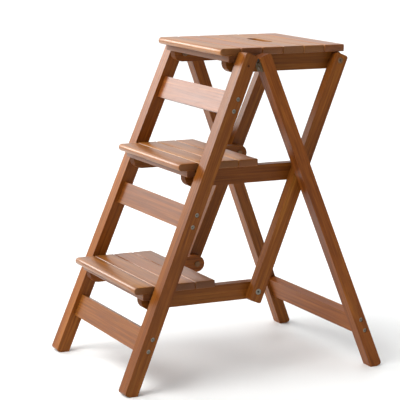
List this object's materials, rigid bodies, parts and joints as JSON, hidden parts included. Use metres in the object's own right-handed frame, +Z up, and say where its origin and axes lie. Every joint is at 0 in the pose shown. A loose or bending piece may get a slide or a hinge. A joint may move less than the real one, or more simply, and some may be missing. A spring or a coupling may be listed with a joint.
{
  "type": "step ladder",
  "caption": "Folding wooden step ladder with two slatted steps and a slatted platform with a hand slot, on hinged front and rear frames joined by link bars.",
  "frame": {"origin": "middle of the footprint on the floor, at the bottom centre of the bounding box", "axes": "+X from the front of the ladder to the back, +Y from the right of someone climbing to their left, +Z up"},
  "size_m": [0.6212, 0.4522, 0.72],
  "materials": {
    "leg_wood": "stained hardwood, straight grain, satin lacquer",
    "brace_wood": "stained hardwood, satin lacquer",
    "rail_wood": "stained hardwood, satin lacquer",
    "slat_wood": "stained hardwood slats with eased edges, satin lacquer",
    "turned_wood": "turned hardwood, satin lacquer",
    "zinc_steel": "zinc-plated steel",
    "dark_steel": "darkened steel",
    "brassed_steel": "brass-plated steel, dulled"
  },
  "bodies": {
    "front_frame": {"front_leg_left": "leg_wood", "front_leg_right": "leg_wood", "front_brace_lower": "brace_wood", "front_brace_middle": "brace_wood", "front_brace_upper": "brace_wood", "front_brace_screws": "zinc_steel", "hinge_leaves_front": "dark_steel", "hinge_pins": "dark_steel", "hinge_screws_front": "zinc_steel", "step_pivot_bolts": "zinc_steel", "step_pivot_spacers": "turned_wood", "pivot_plugs": "turned_wood"},
    "rear_frame": {"rear_leg_left": "leg_wood", "rear_leg_right": "leg_wood", "rear_brace": "brace_wood", "rear_brace_screws": "zinc_steel", "hinge_leaves_rear": "brassed_steel", "hinge_screws_rear": "zinc_steel"},
    "bottom_step": {"bottom_rail_left": "rail_wood", "bottom_rail_right": "rail_wood", "bottom_batten": "rail_wood", "bottom_slat_1": "slat_wood", "bottom_slat_2": "slat_wood", "bottom_slat_3": "slat_wood", "bottom_slat_4": "slat_wood", "bottom_slat_screws": "zinc_steel", "bottom_link_bolts": "zinc_steel"},
    "middle_step": {"middle_rail_left": "rail_wood", "middle_rail_right": "rail_wood", "middle_batten": "rail_wood", "middle_slat_1": "slat_wood", "middle_slat_2": "slat_wood", "middle_slat_3": "slat_wood", "middle_slat_4": "slat_wood", "middle_slat_screws": "zinc_steel", "middle_stay_pins": "zinc_steel"},
    "platform": {"platform_rail_left": "rail_wood", "platform_rail_right": "rail_wood", "platform_batten": "rail_wood", "platform_slat_1": "slat_wood", "platform_slat_2": "slat_wood", "platform_slat_3": "slat_wood", "platform_slat_4": "slat_wood", "platform_slat_5": "slat_wood", "platform_slat_6": "slat_wood", "platform_slat_screws": "zinc_steel", "platform_link_bolts": "zinc_steel"},
    "left_link": {"link_bar_left": "leg_wood"},
    "right_link": {"link_bar_right": "leg_wood"}
  },
  "joints": [
    {"name": "platform_fold", "type": "hinge", "parent": "front_frame", "child": "platform", "pos_m": [-0.01862, 0, 0.685], "axis": [0, -1, 0], "range_deg": [0, 51]},
    {"name": "middle_step_fold", "type": "hinge", "parent": "front_frame", "child": "middle_step", "pos_m": [-0.11656, 0, 0.445], "axis": [0, -1, 0], "range_deg": [0, 51]},
    {"name": "bottom_step_fold", "type": "hinge", "parent": "front_frame", "child": "bottom_step", "pos_m": [-0.22144, 0, 0.188], "axis": [0, -1, 0], "range_deg": [0, 51]},
    {"name": "rear_frame_fold", "type": "hinge", "parent": "front_frame", "child": "rear_frame", "pos_m": [0.00598, 0, 0.69617], "axis": [0, 1, 0], "range_deg": [0, 43]},
    {"name": "left_link_turn", "type": "hinge", "parent": "platform", "child": "left_link", "pos_m": [0.22588, 0.15047, 0.685], "axis": [0, 1, 0], "range_deg": [0, 51]},
    {"name": "right_link_turn", "type": "hinge", "parent": "platform", "child": "right_link", "pos_m": [0.22588, -0.15047, 0.685], "axis": [0, 1, 0], "range_deg": [0, 51]}
  ],
  "couplings": [
    {"joint": "middle_step_fold", "follows": "platform_fold", "ratio": 1},
    {"joint": "bottom_step_fold", "follows": "platform_fold", "ratio": 1},
    {"joint": "left_link_turn", "follows": "platform_fold", "ratio": 1},
    {"joint": "right_link_turn", "follows": "platform_fold", "ratio": 1},
    {"joint": "rear_frame_fold", "follows": "platform_fold", "ratio": 0.8431}
  ]
}
